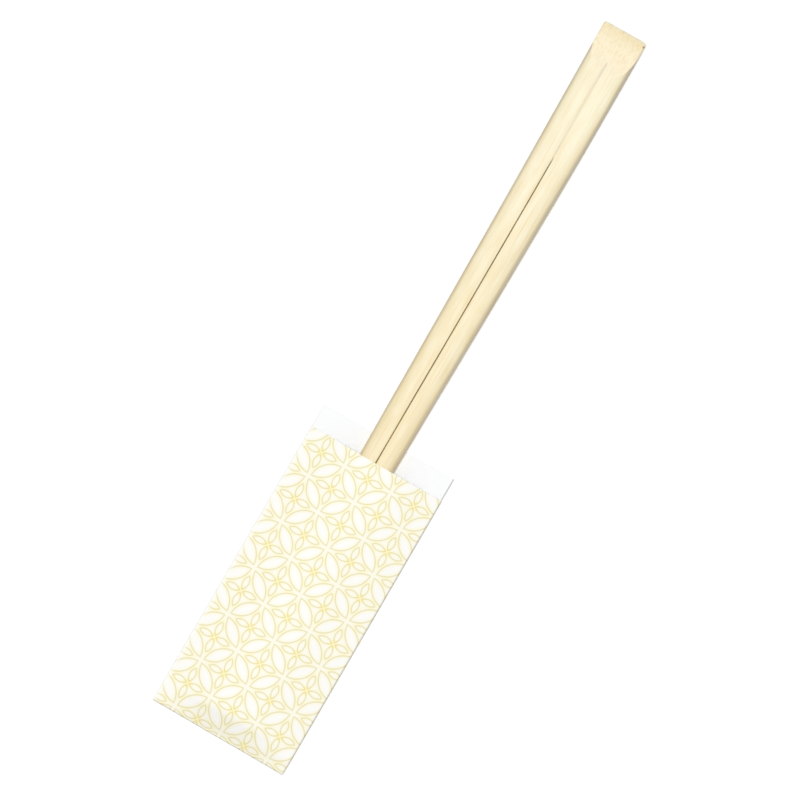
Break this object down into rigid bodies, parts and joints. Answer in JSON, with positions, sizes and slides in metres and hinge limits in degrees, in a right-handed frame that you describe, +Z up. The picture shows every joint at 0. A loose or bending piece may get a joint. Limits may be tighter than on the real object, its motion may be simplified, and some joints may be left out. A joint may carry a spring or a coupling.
{
  "type": "bamboo chopsticks in a paper sleeve",
  "caption": "Disposable bamboo chopsticks with slanted heads, still joined at the head, pushed into a short folded paper sleeve with a thin golden lattice print",
  "frame": {"origin": "below the middle of the whole object, on the surface that it lies on", "axes": "+Y along the sticks towards their joined head, +Z up out of the sleeve's front, X across the sticks"},
  "size_m": [0.0458, 0.248, 0.0051],
  "materials": {
    "bamboo": "pale planed and sanded bamboo, uncoated, with fine fibres along the sticks and small fibre dots on the slanted cut",
    "printed_paper": "thin smooth white paper, printed outside with a thin golden-yellow line lattice of lenses and four-petalled flowers, plain white inside"
  },
  "bodies": {
    "root": {"chopstick_pair": "bamboo", "paper_sleeve": "printed_paper"}
  },
  "joints": []
}
